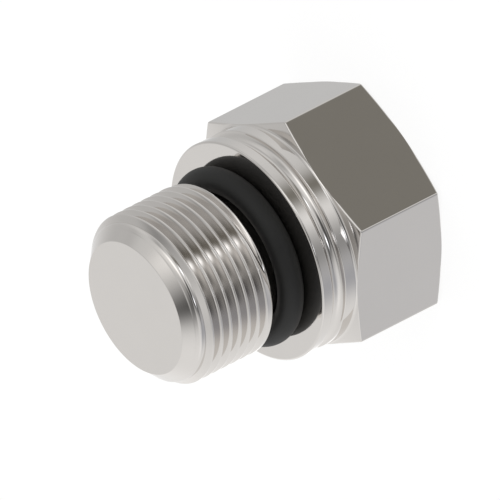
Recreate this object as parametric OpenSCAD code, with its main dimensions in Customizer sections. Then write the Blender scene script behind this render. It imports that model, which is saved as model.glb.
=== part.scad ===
// Hex-head port plug: one turned and threaded steel piece that closes a fluid port,
// and the rubber O-ring that seals it under its flange.
// It stands on the outer face of its hexagon, and +Z runs along its axis to the threaded end.
// Lengths are millimetres and angles are degrees.

/* [Hexagon] */
// Distance across the flats
hex_af = 42.5; // [40:0.1:50]
// Height from the outer face to the corners on the collar side
hex_h = 18.7; // [8:0.1:40]
// Angle of the turned chamfer at both ends of the hexagon
hex_chamfer_angle = 15; // [8:1:30]

/* [Collar, groove and flange] */
// Diameter of the flange that seats on the port
flange_d = 42.3; // [38:0.1:46]
// Thickness of the flange
flange_t = 2.25; // [1.5:0.05:6]
// Radius of the round on the flange's sealing face
flange_edge_r = 0.4; // [0.1:0.05:0.6]
// How much smaller the collar's radius is than the flange's
collar_step = 0.05; // [0:0.05:1]
// Height of the collar, from the hexagon's corners to the groove
collar_h = 3.5; // [2.5:0.1:8]
// Radius of the corner between the hexagon's chamfer and the collar
collar_root_r = 0.6; // [0.2:0.1:1]
// Width of the groove between the collar and the flange
groove_w = 3; // [2:0.1:5]
// Depth of the groove
groove_depth = 1.4; // [0.4:0.1:2]
// Radius of the rounds on the groove's two edges
groove_edge_r = 0.2; // [0.05:0.05:0.4]

/* [Neck and O-ring] */
// Diameter of the neck that the O-ring sits on
neck_d = 25; // [18:0.1:27]
// Length of the neck, from the flange to the thread
neck_l = 7.35; // [6:0.05:15]
// Thickness of the O-ring's round section
oring_section = 4.75; // [2:0.05:5.5]
// Clearance of the O-ring to the neck and to the flange
oring_gap = 0.02; // [0.01:0.01:0.2]

/* [Thread] */
// Outside diameter of the thread
thread_d = 33.3; // [31:0.1:37]
// Pitch of the thread
thread_pitch = 2.117; // [1.4:0.001:3]
// Height of the thread's profile as a share of its pitch
thread_height_ratio = 0.74; // [0.5:0.005:0.75]
// Depth of the plain land between the thread and the end chamfer
thread_land_depth = 1.25; // [0.5:0.05:1.4]
// Length of the threaded end, from the neck to the end face
thread_l = 18.6; // [12:0.1:40]
// Turn of the thread's helix about the axis
thread_turn = 276; // [0:1:360]
// Distance from the neck to the middle of the groove where the thread begins
thread_start = 0.5; // [0.3:0.1:3]
// Distance from the end face to the middle of the ridge where the thread ends
thread_end = 2.5; // [1:0.1:6]
// Depth of the 45 degree chamfer at the neck
neck_chamfer = 0.7; // [0.2:0.05:1.5]
// Depth of the 45 degree chamfer at the end face
end_chamfer = 3.75; // [2:0.05:6]

/* [Hidden] */

steel = [0.78, 0.77, 0.75];
rubber = [0.12, 0.12, 0.12];

// Fragments of a full circle, and steps of a small arc and of the groove in a turned outline
round_fn = 96;
edge_steps = 5;
groove_steps = 16;

// Hexagon
hex_sides = 6;
hex_corner_r = hex_af / 2 / cos(180 / hex_sides);
hex_chamfer_h = (hex_corner_r - hex_af / 2) * tan(hex_chamfer_angle);
flat_cutter_w = 2 * hex_corner_r;

// Collar, whose corner arc is tangent to the cone of the hexagon's chamfer and to the collar
flange_r = flange_d / 2;
collar_r = flange_r - collar_step;
collar_cone_rise = (hex_corner_r - collar_r) * tan(hex_chamfer_angle);
collar_root_rise = collar_root_r * tan((90 - hex_chamfer_angle) / 2);
collar_root_z = hex_h + collar_cone_rise + collar_root_rise;
collar_top_z = hex_h + collar_h;

// Groove, an arc through the flange's edge on one side and the collar's on the other
groove_arc_r = (pow(groove_w / 2, 2) + pow(groove_depth, 2)) / (2 * groove_depth);
groove_centre_r = flange_r - groove_depth + groove_arc_r;
groove_mid_z = collar_top_z + groove_w / 2;

// Flange and neck
flange_face_z = collar_top_z + groove_w + flange_t;
neck_r = neck_d / 2;

// O-ring, seated on the neck against the flange
oring_centre_r = neck_r + oring_gap + oring_section / 2;
oring_centre_z = flange_face_z + oring_gap + oring_section / 2;

// Thread with a flat crest and a flat root, and flanks at this angle to a plane square to the axis
flank_angle = 30;
crest_ratio = 0.125;
thread_z = flange_face_z + neck_l;
end_z = thread_z + thread_l;
crest_r = thread_d / 2;
thread_height = thread_pitch * thread_height_ratio;
crest_half = thread_pitch * crest_ratio / 2;
root_half = crest_half + thread_height * tan(flank_angle);

// The plain land starts half a pitch under the height where the last ridge ends
land_z = end_z - thread_end - thread_pitch / 2;
land_r = crest_r - thread_land_depth;

// The helix runs past both ends of the thread, where the turned envelope cuts it off
thread_segments = 48;
helix_overrun = 1.5;
helix_base_z = thread_z - helix_overrun * thread_pitch;
helix_steps = ceil((thread_l / thread_pitch + 2 * helix_overrun) * thread_segments);

// The first groove fades in beside the neck, and the last ridge fades out on the end chamfer,
// each over this many turns of the helix
groove_fade_turns = 0.26;
ridge_fade_turns = 0.5;
groove_start_step = step_at(thread_z + thread_start - thread_pitch / 2);
groove_fade_steps = groove_fade_turns * thread_segments;
ridge_end_step = step_at(end_z - thread_end);
ridge_fade_steps = ridge_fade_turns * thread_segments;

// The neck reaches this far into the threaded end
neck_joint = 2;

// Step of the helix at which the ridge's middle reaches a height
function step_at(z) = (z - helix_base_z) / thread_pitch * thread_segments;

function clamp01(x) = max(0, min(1, x));

// Radius of the root of the groove that lies above the ridge at a step of the helix
function root_r_at(step) =
    crest_r - thread_height * clamp01((step - groove_start_step) / groove_fade_steps);

// Radius of the ridge's crest at a step of the helix
function crest_r_at(step) =
    crest_r - thread_height * (1 - clamp01((ridge_end_step - step) / ridge_fade_steps));

// One section of the ridge, from its lower root to its upper root
function ridge_section(step) =
    let (a = 360 * step / thread_segments, z = thread_pitch * step / thread_segments)
        [for (p = [
            [root_r_at(step - thread_segments), -root_half],
            [crest_r_at(step), -crest_half],
            [crest_r_at(step), crest_half],
            [root_r_at(step), root_half]
        ]) [p[0] * cos(a), p[0] * sin(a), z + p[1]]];

// Points of an arc in a turned outline, as [radius, height]
function arc(centre, r, from, to, steps = edge_steps) =
    [for (i = [0 : steps]) let (a = from + (to - from) * i / steps)
        centre + r * [cos(a), sin(a)]];

// Height over the groove's middle of the round on one of its edges, on a rim of this radius
function lip_rise(rim_r) = sqrt(
    pow(groove_arc_r + groove_edge_r, 2) - pow(groove_centre_r - rim_r + groove_edge_r, 2)
);

// Angle of the line from the groove's centre to that round
function lip_angle(rim_r) = asin(lip_rise(rim_r) / (groove_arc_r + groove_edge_r));

// A rod with a helical thread, longer than the part's by the overrun at each end
module threaded_rod() {
    turn = thread_segments;
    last = helix_steps;
    bottom = 4 * (last + 1);
    top = bottom + 1;
    points = concat(
        [for (i = [0 : last]) each ridge_section(i)],
        [[0, 0, -thread_pitch], [0, 0, thread_pitch * (last / turn + 1)]]
    );
    ridge_faces = [for (i = [0 : last - 1], j = [0 : 2]) each [
        [4 * i + j, 4 * i + j + 1, 4 * (i + 1) + j],
        [4 * (i + 1) + j, 4 * i + j + 1, 4 * (i + 1) + j + 1]
    ]];
    root_faces = [for (i = [0 : last - turn - 1]) each [
        [4 * i + 3, 4 * (i + turn), 4 * (i + 1) + 3],
        [4 * (i + 1) + 3, 4 * (i + turn), 4 * (i + 1 + turn)]
    ]];
    bottom_loop = concat([for (i = [0 : turn]) 4 * i], [3, 2, 1]);
    top_loop = concat(
        [for (i = [last - turn : last]) 4 * i + 3],
        [4 * last + 2, 4 * last + 1, 4 * last]
    );
    loop_l = len(bottom_loop);
    bottom_faces = [for (i = [0 : loop_l - 1])
        [bottom, bottom_loop[i], bottom_loop[(i + 1) % loop_l]]];
    top_faces = [for (i = [0 : loop_l - 1])
        [top, top_loop[(i + 1) % loop_l], top_loop[i]]];
    polyhedron(
        points = points,
        faces = concat(ridge_faces, root_faces, bottom_faces, top_faces),
        convexity = 10
    );
}

// The turned envelope of the threaded end, with its two chamfers
module thread_envelope() {
    over = 1;
    rotate_extrude($fn = round_fn)
        polygon([
            [0, thread_z],
            [crest_r - neck_chamfer, thread_z],
            [crest_r + over, thread_z + neck_chamfer + over],
            [crest_r + over, end_z - end_chamfer - over],
            [crest_r - end_chamfer, end_z],
            [0, end_z]
        ]);
}

module threaded_end() {
    intersection() {
        union() {
            translate([0, 0, helix_base_z])
                rotate([0, 0, thread_turn])
                    threaded_rod();
            translate([0, 0, land_z])
                cylinder(r = land_r, h = end_z - land_z, $fn = round_fn);
        }
        thread_envelope();
    }
}

// The blank of the head as the lathe leaves it: chamfers, collar, groove, flange and neck
module turned_head() {
    groove = arc(
        [groove_centre_r, groove_mid_z],
        groove_arc_r,
        180 + lip_angle(collar_r),
        180 - lip_angle(flange_r),
        groove_steps
    );
    rotate_extrude($fn = round_fn)
        polygon(concat(
            [
                [0, 0],
                [hex_af / 2, 0],
                [hex_corner_r, hex_chamfer_h],
                [hex_corner_r, hex_h]
            ],
            arc(
                [collar_r + collar_root_r, collar_root_z],
                collar_root_r,
                270 - hex_chamfer_angle,
                180
            ),
            arc(
                [collar_r - groove_edge_r, groove_mid_z - lip_rise(collar_r)],
                groove_edge_r,
                0,
                lip_angle(collar_r)
            ),
            [for (i = [1 : groove_steps - 1]) groove[i]],
            arc(
                [flange_r - groove_edge_r, groove_mid_z + lip_rise(flange_r)],
                groove_edge_r,
                -lip_angle(flange_r),
                0
            ),
            arc([flange_r - flange_edge_r, flange_face_z - flange_edge_r], flange_edge_r, 0, 90),
            [[neck_r, flange_face_z], [neck_r, thread_z + neck_joint], [0, thread_z + neck_joint]]
        ));
}

// What is milled off the blank to leave the six flats
module flat_cuts() {
    below = 1;
    for (side = [0 : hex_sides - 1])
        rotate([0, 0, 360 / hex_sides * side])
            translate([hex_af / 2, -flat_cutter_w / 2, -below])
                cube([hex_corner_r, flat_cutter_w, collar_root_z + below]);
}

module plug_body() {
    color(steel) {
        difference() {
            turned_head();
            flat_cuts();
        }
        threaded_end();
    }
}

module o_ring() {
    color(rubber)
        rotate_extrude($fn = round_fn)
            translate([oring_centre_r, oring_centre_z])
                circle(d = oring_section, $fn = round_fn / 2);
}

plug_body();
o_ring();
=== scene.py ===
"""Looks for the fitting plug: bright turned steel with its true thread, and a black rubber O-ring.

Lengths are metres in the part's own frame: the plug stands on its hexagon and +Z is its axis.
Outlines are lists of (r, z): the distance from the axis and the height.
"""

import math

import bmesh
import bpy
from mathutils import Matrix, Vector


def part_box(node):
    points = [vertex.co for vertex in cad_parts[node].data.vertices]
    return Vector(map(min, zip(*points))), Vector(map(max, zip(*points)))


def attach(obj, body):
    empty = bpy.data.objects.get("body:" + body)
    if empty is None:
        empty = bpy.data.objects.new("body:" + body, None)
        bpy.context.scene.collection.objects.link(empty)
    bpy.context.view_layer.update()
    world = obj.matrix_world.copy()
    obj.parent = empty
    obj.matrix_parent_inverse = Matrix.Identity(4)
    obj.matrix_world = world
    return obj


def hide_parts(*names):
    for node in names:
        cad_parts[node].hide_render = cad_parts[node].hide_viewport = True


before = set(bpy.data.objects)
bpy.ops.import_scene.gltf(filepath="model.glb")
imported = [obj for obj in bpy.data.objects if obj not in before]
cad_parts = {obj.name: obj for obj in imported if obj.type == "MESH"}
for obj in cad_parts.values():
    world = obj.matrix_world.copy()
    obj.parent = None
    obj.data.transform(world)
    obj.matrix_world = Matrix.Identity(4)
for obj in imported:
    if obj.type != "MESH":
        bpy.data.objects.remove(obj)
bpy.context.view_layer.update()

MM = 0.001
DEG = math.pi / 180

# Overall sizes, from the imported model
BODY_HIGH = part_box("plug_body")[1]
RING_LOW, RING_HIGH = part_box("o_ring")
HALF_AF = BODY_HIGH[0]
END_Z = BODY_HIGH[2]

# Hexagon
HEX_H = 18.7 * MM
CHAMFER = 15 * DEG
HALF_SIDE = 30 * DEG
CORNER_R = HALF_AF / math.cos(HALF_SIDE)
CORNER_ROUND = 0.45 * MM
EDGE_ROUND = 0.36 * MM
BASE_R = HALF_AF - 0.15 * MM

# Collar, groove and flange
COLLAR_H = 3.5 * MM
FLANGE_R = 21.15 * MM
COLLAR_R = FLANGE_R - 0.05 * MM
COLLAR_ROOT = 0.6 * MM
GROOVE_W = 3.0 * MM
GROOVE_DEPTH = 1.4 * MM
GROOVE_EDGE = 0.2 * MM
FLANGE_T = 2.25 * MM
FLANGE_EDGE = 0.4 * MM
FLANGE_Z = HEX_H + COLLAR_H + GROOVE_W + FLANGE_T

# Neck and thread
NECK_R = 12.5 * MM
NECK_ROUND = 0.3 * MM
THREAD_Z = FLANGE_Z + 7.35 * MM
SHOULDER_R = 14.0 * MM
CREST_R = 16.65 * MM
PITCH = 2.117 * MM
THREAD_DEPTH = 0.74 * PITCH
FLANK = 30 * DEG
CREST_HALF = PITCH / 16
CREST_ROUND = 0.22 * MM
ROOT_ROUND = 0.06 * MM
FLANK_HOLLOW = 0.014 * MM
THREAD_TURN = 276 * DEG
THREAD_BASE_Z = THREAD_Z - 1.5 * PITCH
GROOVE_START_Z = THREAD_Z + 0.5 * MM
GROOVE_FADE = 0.26 * PITCH
RIDGE_END_Z = END_Z - 2.5 * MM
RIDGE_FADE = 0.5 * PITCH
LAND_DEPTH = 1.25 * MM
LAND_R = CREST_R - LAND_DEPTH
LAND_Z = RIDGE_END_Z - PITCH / 2
NECK_CHAMFER = 0.7 * MM
END_CHAMFER = 3.75 * MM
END_ROUND = 0.15 * MM
BLANK_ROUND = 0.35 * MM

# Height where the thread's columns end and the plain end begins
END_RING_Z = END_Z - 1.9 * MM

# Columns round the threaded end, and the steps in a flank between its two ends
THREAD_COLUMNS = 192
FLANK_STEPS = 6

# A fine turned line on the end chamfer
LINE_Z = END_Z - 1.66 * MM
LINE_HALF = 0.06 * MM
LINE_DEPTH = 0.03 * MM

# The photograph: millimetres in one of its pixels, the pixel where the axis passes the top of
# the hexagon's corners, and how far the view is turned and lifted from the plug's axis
PHOTO_SIZE = 500
PIXEL = 0.1778 * MM
AXIS_PIXEL = (284.3, 232.3)
AXIS_Z = 18.74 * MM
VIEW_TURN = 49.86 * DEG
VIEW_LIFT = 37.1 * DEG


def clamp01(value):
    """A value held between 0 and 1."""
    return max(0.0, min(1.0, value))


def arc(centre, radius, start, end, steps):
    """Points of an arc in an outline, between two angles in degrees."""
    angles = [(start + (end - start) * i / steps) * DEG for i in range(steps + 1)]
    return [
        (centre[0] + radius * math.cos(a), centre[1] + radius * math.sin(a)) for a in angles
    ]


def rounded(corners, steps=3):
    """An outline through corners (r, z, radius), with a short curve in place of each corner."""
    points = [corners[0][:2]]
    for before, corner, after in zip(corners, corners[1:], corners[2:]):
        here = Vector(corner[:2])
        if corner[2] == 0:
            points.append(tuple(here))
            continue
        back = Vector(before[:2]) - here
        ahead = Vector(after[:2]) - here
        room = 0.45 * min(back.length, ahead.length)
        back.normalize()
        ahead.normalize()
        half = math.acos(max(-1.0, min(1.0, back.dot(ahead)))) / 2
        cut = min(corner[2] / math.tan(max(half, 0.01)), room)
        for i in range(steps + 1):
            t = i / steps
            points.append(tuple(here + back * cut * (1 - t) ** 2 + ahead * cut * t**2))
    points.append(corners[-1][:2])
    return points


def side_radius(angle):
    """Distance from the axis to the hexagon's side at an angle, with its corners rounded."""
    from_corner = abs((angle / DEG) % 60 - 30) * DEG
    centre = (HALF_AF - CORNER_ROUND) / math.cos(HALF_SIDE)
    if from_corner < corner_span():
        return centre * math.cos(from_corner) + math.sqrt(
            CORNER_ROUND**2 - (centre * math.sin(from_corner)) ** 2
        )
    return HALF_AF / math.cos(HALF_SIDE - from_corner)


def corner_span():
    """Half of the angle, seen from the axis, that the round on a corner of the hexagon takes."""
    centre = (HALF_AF - CORNER_ROUND) / math.cos(HALF_SIDE)
    return math.atan2(
        CORNER_ROUND * math.sin(HALF_SIDE), centre + CORNER_ROUND * math.cos(HALF_SIDE)
    )


def head_angles(fine_steps=3, growth=1.5, widest=2 * DEG):
    """Angles of the head's columns: fine on the round of each corner of the hexagon, and
    growing step by step from there towards the middle of each flat."""
    step = corner_span() / fine_steps
    offsets = [step * i for i in range(fine_steps + 1)]
    while offsets[-1] + 1.5 * step < HALF_SIDE:
        step = min(step * growth, widest)
        offsets.append(offsets[-1] + step)
    offsets[-1] = HALF_SIDE
    corners = [(30 + 60 * k) * DEG for k in range(6)]
    after = [corner + off for corner in corners for off in offsets]
    before = [corner - off for corner in corners for off in offsets[1:-1]]
    return sorted(after + before)


def even_angles(count):
    """Angles of columns that are evenly spread round the axis."""
    return [2 * math.pi * i / count for i in range(count)]


def collar_outline(side):
    """The hexagon's top corner, cone and hollow corner in a column, up to the collar's wall."""
    rise = COLLAR_ROOT * math.tan((90 * DEG - CHAMFER) / 2)
    centre = (COLLAR_R + COLLAR_ROOT, cone_z(COLLAR_R) + rise)
    first = 270 - CHAMFER / DEG
    if side > centre[0] + COLLAR_ROOT * math.cos(first * DEG):
        hollow = arc(centre, COLLAR_ROOT, first, 180, 8)
        return [(side, cone_z(side), EDGE_ROUND)] + [(r, z, 0) for r, z in hollow]
    first = 180 + math.acos((centre[0] - side) / COLLAR_ROOT) / DEG
    hollow = arc(centre, COLLAR_ROOT, first, 180, 9)
    return [(side, hollow[0][1], EDGE_ROUND)] + [(r, z, 0) for r, z in hollow[1:]]


def cone_z(r):
    """Height of the hexagon's chamfer on the collar side at a distance from the axis."""
    return HEX_H + (CORNER_R - r) * math.tan(CHAMFER)


def groove_outline():
    """The round groove with its two rounded edges."""
    radius = ((GROOVE_W / 2) ** 2 + GROOVE_DEPTH**2) / (2 * GROOVE_DEPTH)
    centre = (FLANGE_R - GROOVE_DEPTH + radius, HEX_H + COLLAR_H + GROOVE_W / 2)
    reach = radius + GROOVE_EDGE

    def lip_angle(rim):
        return math.acos((centre[0] - rim + GROOVE_EDGE) / reach) / DEG

    low = lip_angle(COLLAR_R)
    high = lip_angle(FLANGE_R)
    low_centre = (COLLAR_R - GROOVE_EDGE, centre[1] - reach * math.sin(low * DEG))
    high_centre = (FLANGE_R - GROOVE_EDGE, centre[1] + reach * math.sin(high * DEG))
    return (
        arc(low_centre, GROOVE_EDGE, 0, low, 4)
        + arc(centre, radius, 180 + low, 180 - high, 24)[1:-1]
        + arc(high_centre, GROOVE_EDGE, -high, 0, 4)
    )


def head_outline(side):
    """The head in a column, from the middle of the base to the shoulder under the thread."""
    base_z = (side - BASE_R) * math.tan(CHAMFER)
    flange_corner = (FLANGE_R - FLANGE_EDGE, FLANGE_Z - FLANGE_EDGE)
    corners = [(0, 0, 0), (BASE_R, 0, EDGE_ROUND), (side, base_z, EDGE_ROUND)]
    corners += collar_outline(side)
    corners += [(r, z, 0) for r, z in groove_outline()]
    corners += [(r, z, 0) for r, z in arc(flange_corner, FLANGE_EDGE, 0, 90, 8)]
    corners += [
        (NECK_R, FLANGE_Z, NECK_ROUND),
        (NECK_R, THREAD_Z, NECK_ROUND),
        (SHOULDER_R, THREAD_Z, 0),
    ]
    return rounded(corners)


def envelope(z):
    """Radius of the threaded end's turned blank at a height, with its two chamfers."""
    low = CREST_R - NECK_CHAMFER + (z - THREAD_Z)
    high = CREST_R - END_CHAMFER + (END_Z - z)
    return min(CREST_R, low, high)


def groove_depth(groove_z):
    """Depth of the groove whose middle is at a height: the first one fades in from the neck."""
    return THREAD_DEPTH * clamp01((groove_z - GROOVE_START_Z) / GROOVE_FADE)


def groove_floor(groove_z):
    """Least radius in a groove: beside the fading ridge it rises to the plain land."""
    share = clamp01((groove_z - LAND_Z + RIDGE_FADE) / RIDGE_FADE)
    return CREST_R - THREAD_DEPTH + (THREAD_DEPTH - LAND_DEPTH) * share


def crest_radius(ridge_z):
    """Radius of a ridge's crest: the last ridge fades out into the plain land."""
    return LAND_R + LAND_DEPTH * clamp01((RIDGE_END_Z - ridge_z) / RIDGE_FADE)


def half_form():
    """The thread's form from the middle of a root to the middle of a crest, as pairs: the depth,
    and the distance along the axis."""

    def flank_point(depth):
        share = depth / THREAD_DEPTH
        hollow = 4 * FLANK_HOLLOW * share * (1 - share)
        return depth, PITCH / 2 - CREST_HALF - depth * math.tan(FLANK) + hollow

    depths = [LAND_DEPTH * (1 - i / FLANK_STEPS) for i in range(FLANK_STEPS)]
    flank = [flank_point(depth) for depth in [THREAD_DEPTH, *depths, 0]]
    rounds = [ROOT_ROUND, *[0] * FLANK_STEPS, CREST_ROUND]
    corners = [(THREAD_DEPTH, 0, 0)]
    corners += [(*point, size) for point, size in zip(flank, rounds)]
    corners += [(0, PITCH / 2, 0)]
    return rounded(corners, steps=5)


HALF_FORM = half_form()


def half_ridge(ridge_z, side):
    """The outline from the middle of a groove to the crest of a ridge, below it or above it."""
    groove_z = ridge_z + side * PITCH / 2
    crest = crest_radius(ridge_z)
    scale = (crest - CREST_R + groove_depth(groove_z)) / THREAD_DEPTH
    least = groove_floor(groove_z)
    return [
        (max(crest - depth * scale, least), groove_z - side * along) for depth, along in HALF_FORM
    ]


def ridge_outline(ridge_z):
    """One pitch of the thread, from the middle of one root to just before the next."""
    return half_ridge(ridge_z, -1) + half_ridge(ridge_z, 1)[-2:0:-1]


def cut_to_envelope(points):
    """The thread's outline cut off by the blank, with the corner between the two rounded."""
    cut = [(soft_least(r, envelope(z)), z) for r, z in points]
    first = next(i for i, (r, z) in enumerate(cut) if z > THREAD_Z)
    (low_r, low_z), (high_r, high_z) = cut[first - 1], cut[first]
    start_r = low_r + (high_r - low_r) * (THREAD_Z - low_z) / (high_z - low_z)
    end = (envelope(END_RING_Z), END_RING_Z)
    return [(start_r, THREAD_Z)] * first + [
        point if point[1] < END_RING_Z else end for point in cut[first:]
    ]


def soft_least(a, b):
    """The smaller of two radii, with a smooth change from one to the other."""
    near = clamp01(1 - abs(a - b) / BLANK_ROUND)
    return min(a, b) - near**2 * BLANK_ROUND / 4


def thread_outline(angle):
    """The whole thread in a column. One turn on, each ridge is where the next one was."""
    turns = range(-1, round((END_Z - THREAD_BASE_Z) / PITCH) + 3)
    points = []
    for turn in turns:
        ridge_z = THREAD_BASE_Z + PITCH * (turn + (angle - THREAD_TURN) / (2 * math.pi))
        points += ridge_outline(ridge_z)
    return cut_to_envelope(points)


def end_outline():
    """The last of the end chamfer and the end face."""
    line = [(LINE_Z - LINE_HALF, 0), (LINE_Z, LINE_DEPTH), (LINE_Z + LINE_HALF, 0)]
    cone = [(END_RING_Z, 0), *line]
    return rounded([
        *((envelope(z) - depth, z, 0) for z, depth in cone),
        (CREST_R - END_CHAMFER, END_Z, END_ROUND),
        (0, END_Z, 0),
    ])


def skin(mesh, angles, outlines, shift=0):
    """Joins one outline per angle into a closed skin. The last column meets the first one
    `shift` points further on, which is how a helix closes."""
    columns = [
        [mesh.verts.new((r * math.cos(a), r * math.sin(a), z)) for r, z in outline]
        for a, outline in zip(angles, outlines)
    ]
    rows = len(columns[0])
    for c, column in enumerate(columns):
        wraps = c + 1 == len(columns)
        other = columns[0] if wraps else columns[c + 1]
        step = shift if wraps else 0
        for i in range(rows - 1 - step):
            mesh.faces.new((column[i], other[i + step], other[i + 1 + step], column[i + 1]))


def is_turned(face, slack=0.0005):
    """Whether a face belongs to a surface turned about the axis, whose normals all cross it."""
    sideways = Vector((-face.center.y, face.center.x, 0)).normalized()
    return abs(face.normal.dot(sideways)) < slack


def corner_normals(data, sharp):
    """A normal for each corner of each face. The faces around a point count by their areas, so
    flat faces stay flat beside small rounds, and faces beyond a sharp edge don't count."""
    limit = math.cos(sharp)
    near = [[] for _ in data.vertices]
    for face in data.polygons:
        for vertex in face.vertices:
            near[vertex].append((face.normal.copy(), face.area))
    normals = []
    for face in data.polygons:
        own = face.normal.copy()
        turned = is_turned(face)
        for vertex in face.vertices:
            total = Vector((0, 0, 0))
            for normal, area in near[vertex]:
                if normal.dot(own) > limit:
                    total += normal * area
            if turned:
                place = data.vertices[vertex].co
                sideways = Vector((-place.y, place.x, 0)).normalized()
                total -= sideways * total.dot(sideways)
            normals.append(total.normalized())
    return normals


def weld(mesh, reach=1e-7):
    """Joins points that lie on each other, and takes out the faces that this leaves empty."""
    bmesh.ops.remove_doubles(mesh, verts=mesh.verts, dist=reach)
    bmesh.ops.dissolve_degenerate(mesh, edges=mesh.edges, dist=reach)


def smooth_piece(name, mesh, sharp=35 * DEG):
    """Turns a bmesh into an object with smooth shading that keeps its true edges."""
    weld(mesh)
    bmesh.ops.recalc_face_normals(mesh, faces=mesh.faces)
    data = bpy.data.meshes.new(name)
    mesh.to_mesh(data)
    mesh.free()
    data.shade_smooth()
    data.set_sharp_from_angle(angle=sharp)
    data.normals_split_custom_set(corner_normals(data, sharp))
    piece = bpy.data.objects.new(name, data)
    bpy.context.scene.collection.objects.link(piece)
    return piece


def on_flat(face, square=0.9999, reach=0.01 * MM):
    """Whether a face of the body lies on one of the hexagon's six flats."""
    centre = face.center
    turn = round(math.atan2(centre.y, centre.x) / (60 * DEG)) * 60 * DEG
    out = Vector((math.cos(turn), math.sin(turn), 0))
    return face.normal.dot(out) > square and abs(centre.dot(out) - HALF_AF) < reach


def plug_body_piece():
    """The whole metal plug as one skin, with its flats in a material slot of their own."""
    mesh = bmesh.new()
    points_per_pitch = len(ridge_outline(THREAD_Z))
    angles = head_angles()
    skin(mesh, angles, [head_outline(side_radius(a)) for a in angles])
    angles = even_angles(THREAD_COLUMNS)
    skin(mesh, angles, [thread_outline(a) for a in angles], shift=points_per_pitch)
    skin(mesh, angles, [end_outline() for _ in angles])
    weld(mesh)
    shoulder = [edge for edge in mesh.edges if edge.is_boundary]
    bmesh.ops.bridge_loops(mesh, edges=shoulder)
    piece = smooth_piece("plug_body_skin", mesh)
    for polygon in piece.data.polygons:
        polygon.material_index = 1 if on_flat(polygon) else 0
    return piece


def o_ring_piece(around=240, section_steps=48):
    """The O-ring, a plain round section turned round the axis."""
    section = (RING_HIGH[2] - RING_LOW[2]) / 2
    centre = (RING_HIGH[0] - section, (RING_HIGH[2] + RING_LOW[2]) / 2)
    outline = arc(centre, section, 0, 360, section_steps)
    mesh = bmesh.new()
    angles = even_angles(around)
    skin(mesh, angles, [outline for _ in angles])
    return smooth_piece("o_ring_skin", mesh)


class Nodes:
    """Adds nodes to one node tree and links them in the same call."""

    def __init__(self, tree):
        self.tree = tree
        tree.nodes.clear()

    def add(self, kind, settings=None, **inputs):
        """A node with its inputs by name, or by number as i0, i1 and so on."""
        node = self.tree.nodes.new(kind)
        for name, value in (settings or {}).items():
            setattr(node, name, value)
        for key, value in inputs.items():
            socket = node.inputs[int(key[1:])] if key[0] == "i" and key[1:].isdigit() else None
            socket = socket or node.inputs[key.replace("_", " ")]
            if isinstance(value, bpy.types.NodeSocket):
                self.tree.links.new(value, socket)
            else:
                socket.default_value = value
        return node

    def math(self, operation, *values):
        """The result of a Math node."""
        node = self.add("ShaderNodeMath", {"operation": operation})
        self.fill(node, values)
        return node.outputs[0]

    def vector(self, operation, *values):
        """The result of a Vector Math node."""
        node = self.add("ShaderNodeVectorMath", {"operation": operation})
        self.fill(node, values)
        return node.outputs["Value" if operation in ("DOT_PRODUCT", "LENGTH") else "Vector"]

    def fill(self, node, values):
        """Sets or links a node's inputs in their order."""
        for socket, value in zip(node.inputs, values):
            if isinstance(value, bpy.types.NodeSocket):
                self.tree.links.new(value, socket)
            else:
                socket.default_value = value


def new_material(name):
    """An empty material and the means to add nodes to it."""
    material = bpy.data.materials.new(name)
    material.use_nodes = True
    return material, Nodes(material.node_tree)


def steel_material(name, lines_along_axis):
    """Bright steel with faint tool marks: rings on what was turned, lines on the drawn flats."""
    material, nodes = new_material(name)
    place = nodes.add("ShaderNodeTexCoord").outputs["Object"]
    x, y, z = nodes.add("ShaderNodeSeparateXYZ", Vector=place).outputs
    squares = nodes.math("ADD", nodes.math("MULTIPLY", x, x), nodes.math("MULTIPLY", y, y))
    radius = nodes.math("SQRT", squares)
    if lines_along_axis:
        drawn_z = nodes.math("MULTIPLY", z, 0.02)
        marks_at = nodes.add("ShaderNodeCombineXYZ", X=x, Y=y, Z=drawn_z).outputs[0]
    else:
        marks_at = nodes.add("ShaderNodeCombineXYZ", X=radius, Y=z, Z=0.0).outputs[0]
    marks = nodes.add("ShaderNodeTexNoise", Vector=marks_at, Scale=4000.0, Detail=3.0)
    marks = marks.outputs["Fac"]
    wear = nodes.add("ShaderNodeTexNoise", Vector=place, Scale=120.0, Detail=4.0).outputs["Fac"]
    rough = nodes.add("ShaderNodeMapRange", Value=wear, To_Min=0.05, To_Max=0.09).outputs[0]
    bump = nodes.add("ShaderNodeBump", Height=marks, Strength=0.05, Distance=0.00001)
    tint = nodes.add("ShaderNodeMix", {"data_type": "RGBA"}, Factor=wear)
    tint.inputs["A"].default_value = (0.70, 0.675, 0.648, 1)
    tint.inputs["B"].default_value = (0.73, 0.703, 0.675, 1)
    shader = nodes.add("ShaderNodeBsdfPrincipled", Roughness=rough, Normal=bump.outputs[0])
    shader.inputs["Metallic"].default_value = 1.0
    nodes.tree.links.new(tint.outputs["Result"], shader.inputs["Base Color"])
    nodes.add("ShaderNodeOutputMaterial", Surface=shader.outputs[0])
    return material


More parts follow.
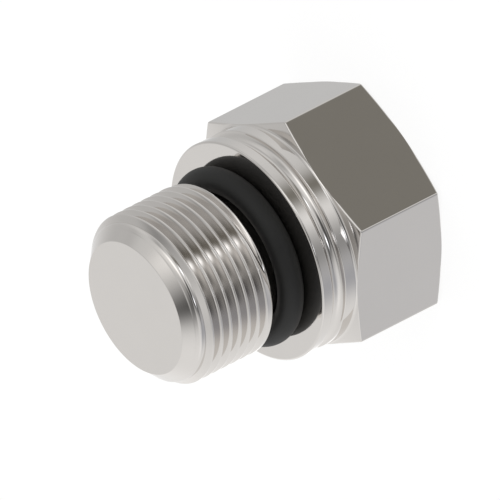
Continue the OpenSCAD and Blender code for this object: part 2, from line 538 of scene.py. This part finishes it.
def rubber_material():
    """Black moulded rubber with a fine satin grain."""
    material, nodes = new_material("black_rubber")
    place = nodes.add("ShaderNodeTexCoord").outputs["Object"]
    grain = nodes.add("ShaderNodeTexNoise", Vector=place, Scale=5000.0, Detail=3.0).outputs["Fac"]
    cloud = nodes.add("ShaderNodeTexNoise", Vector=place, Scale=250.0, Detail=3.0).outputs["Fac"]
    rough = nodes.add("ShaderNodeMapRange", Value=cloud, To_Min=0.5, To_Max=0.62).outputs[0]
    bump = nodes.add("ShaderNodeBump", Height=grain, Strength=0.15, Distance=0.00002)
    shade = nodes.add("ShaderNodeMix", {"data_type": "RGBA"}, Factor=cloud)
    shade.inputs["A"].default_value = (0.016, 0.016, 0.0155, 1)
    shade.inputs["B"].default_value = (0.021, 0.021, 0.02, 1)
    shader = nodes.add("ShaderNodeBsdfPrincipled", Roughness=rough, Normal=bump.outputs[0])
    shader.inputs["Specular IOR Level"].default_value = 0.35
    nodes.tree.links.new(shade.outputs["Result"], shader.inputs["Base Color"])
    nodes.add("ShaderNodeOutputMaterial", Surface=shader.outputs[0])
    return material


# The studio round the plug, as soft panels, gaps and two lamps in the tent: azimuth and its
# spread, elevation and its spread, in degrees, and the light that each adds or takes. They are
# fitted to the tones of the photograph, so they say how it was lit, and not what the metal is.
TENT_LIGHT = (0.905, 0.905, 0.905)
DARKEST = (0.1, 0.1, 0.1)
PANELS = (
    ((-128, 33), (8, 24), (0.23, 0.23, 0.23)),
    ((-129, 14), (-35, 10), (0.663, 0.65, 0.65)),
    ((-27, 19), (-20, 37), (-0.45, -0.441, -0.405)),
    ((13, 18), (-6, 42), (-0.75, -0.75, -0.75)),
    ((30, 37), (52, 11), (-0.92, -0.92, -0.92)),
    ((73, 15), (-31, 24), (-0.653, -0.663, -0.686)),
    ((156, 8), (58, 25), (-0.25, -0.25, -0.25)),
    ((179, 42), (25, 90), (-0.33, -0.33, -0.33)),
    ((132, 22), (-14, 10), (-0.26, -0.26, -0.26)),
    ((198, 18), (-31, 14), (-0.09, -0.085, -0.081)),
    ((73, 26), (46, 13), (1.111, 1.1, 1.084)),
    ((-43, 20), (15, 15), (0.2, 0.2, 0.2)),
    ((106, 16), (19, 43), (-0.4, -0.4, -0.4)),
    ((-4, 11), (-19, 7), (-0.34, -0.34, -0.34)),
    ((90, 14), (-20, 6), (-0.34, -0.34, -0.34)),
    ((38, 12), (-24, 4.2), (-0.48, -0.48, -0.48)),
    ((48, 9), (-33, 5), (0.2, 0.2, 0.2)),
    ((34, 19), (22, 17), (-0.95, -0.95, -0.95)),
    ((20, 6), (-22, 5), (0.2, 0.2, 0.2)),
    ((18.5, 6), (3, 6), (3, 3.1, 3.3)),
    ((60.5, 6.5), (-21.5, 4.5), (2.1, 2.2, 2.35)),
)


def studio():
    """A pale studio as light and reflection, and plain white where the camera sees past it."""
    world = bpy.data.worlds.new("studio")
    world.use_nodes = True
    bpy.context.scene.world = world
    nodes = Nodes(world.node_tree)
    way = nodes.vector("NORMALIZE", nodes.add("ShaderNodeTexCoord").outputs["Generated"])
    x, y, z = nodes.add("ShaderNodeSeparateXYZ", Vector=way).outputs
    level_way = nodes.vector("NORMALIZE", nodes.add("ShaderNodeCombineXYZ", X=x, Y=y).outputs[0])
    elevation = nodes.math("ARCSINE", z)
    level = nodes.math("SUBTRACT", 1.0, nodes.math("MULTIPLY", z, z))
    light = TENT_LIGHT
    for (azimuth, wide), (height, tall), gain in PANELS:
        aim = (math.cos(azimuth * DEG), math.sin(azimuth * DEG), 0)
        turn = nodes.math("SUBTRACT", 1.0, nodes.vector("DOT_PRODUCT", level_way, aim))
        turn = nodes.math("MULTIPLY", turn, nodes.math("MULTIPLY", level, 2 / (wide * DEG) ** 2))
        rise = nodes.math("DIVIDE", nodes.math("SUBTRACT", elevation, height * DEG), tall * DEG)
        fade = nodes.math("MULTIPLY_ADD", rise, rise, turn)
        share = nodes.math("EXPONENT", nodes.math("MULTIPLY", fade, -1.0))
        light = nodes.vector("MULTIPLY_ADD", share, gain, light)
    light = nodes.vector("MAXIMUM", light, DARKEST)
    tent = nodes.add("ShaderNodeBackground", Color=light, Strength=1.0)
    white = nodes.add("ShaderNodeBackground", Color=(1, 1, 1, 1), Strength=1.0)
    seen = nodes.add("ShaderNodeLightPath").outputs["Is Camera Ray"]
    both = nodes.add("ShaderNodeMixShader", i0=seen, i1=tent.outputs[0], i2=white.outputs[0])
    nodes.add("ShaderNodeOutputWorld", Surface=both.outputs[0])


def floor():
    """A white floor under the hexagon that keeps the plug's soft shadow. It lies a hair under
    the base, so that the two faces don't share one plane, and it doesn't hide the plug from
    below."""
    reach = 1.5
    gap = 0.05 * MM
    mesh = bmesh.new()
    bmesh.ops.create_grid(mesh, x_segments=1, y_segments=1, size=reach)
    data = bpy.data.meshes.new("floor")
    mesh.to_mesh(data)
    mesh.free()
    plane = bpy.data.objects.new("floor", data)
    plane.location.z = -gap
    bpy.context.scene.collection.objects.link(plane)
    plane.visible_glossy = False
    material, nodes = new_material("floor_paper")
    seen = nodes.add("ShaderNodeLightPath").outputs["Is Camera Ray"]
    paper = nodes.add("ShaderNodeBsdfDiffuse", Color=(0.25, 0.25, 0.25, 1))
    glow_strength = nodes.math("MULTIPLY", seen, 0.85)
    glow = nodes.add("ShaderNodeEmission", Color=(1, 1, 1, 1), Strength=glow_strength)
    both = nodes.add("ShaderNodeAddShader", i0=paper.outputs[0], i1=glow.outputs[0])
    under = nodes.add("ShaderNodeNewGeometry").outputs["Backfacing"]
    clear = nodes.add("ShaderNodeBsdfTransparent").outputs[0]
    through = nodes.math("MULTIPLY", seen, under)
    sheet = nodes.add("ShaderNodeMixShader", i0=through, i1=both.outputs[0], i2=clear)
    nodes.add("ShaderNodeOutputMaterial", Surface=sheet.outputs[0])
    data.materials.append(material)


def camera():
    """The photograph's view: square to its picture, with the +Y corner of the hexagon upwards."""
    right = Vector((math.cos(VIEW_TURN), 0, -math.sin(VIEW_TURN)))
    back = Vector((
        math.cos(VIEW_LIFT) * math.sin(VIEW_TURN),
        math.sin(VIEW_LIFT),
        math.cos(VIEW_LIFT) * math.cos(VIEW_TURN),
    ))
    up = back.cross(right)
    middle = PHOTO_SIZE / 2
    centre = Vector((0, 0, AXIS_Z))
    centre -= right * (AXIS_PIXEL[0] - middle) * PIXEL
    centre -= up * (middle - AXIS_PIXEL[1]) * PIXEL
    distance = 0.4
    data = bpy.data.cameras.new("camera")
    data.type = "ORTHO"
    data.ortho_scale = PHOTO_SIZE * PIXEL
    view = bpy.data.objects.new("camera", data)
    view.matrix_world = Matrix.Translation(centre + back * distance) @ Matrix(
        (right, up, back)
    ).transposed().to_4x4()
    bpy.context.scene.collection.objects.link(view)
    bpy.context.scene.camera = view


def dress(piece, node, materials):
    """Puts a piece in the place of its CAD node, with its materials."""
    for material in materials:
        piece.data.materials.append(material)
    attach(piece, "root")
    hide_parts(node)


bpy.context.scene.view_settings.view_transform = "Standard"
camera()
studio()
floor()
steel = [steel_material("turned_steel", False), steel_material("drawn_steel", True)]
dress(plug_body_piece(), "plug_body", steel)
dress(o_ring_piece(), "o_ring", [rubber_material()])
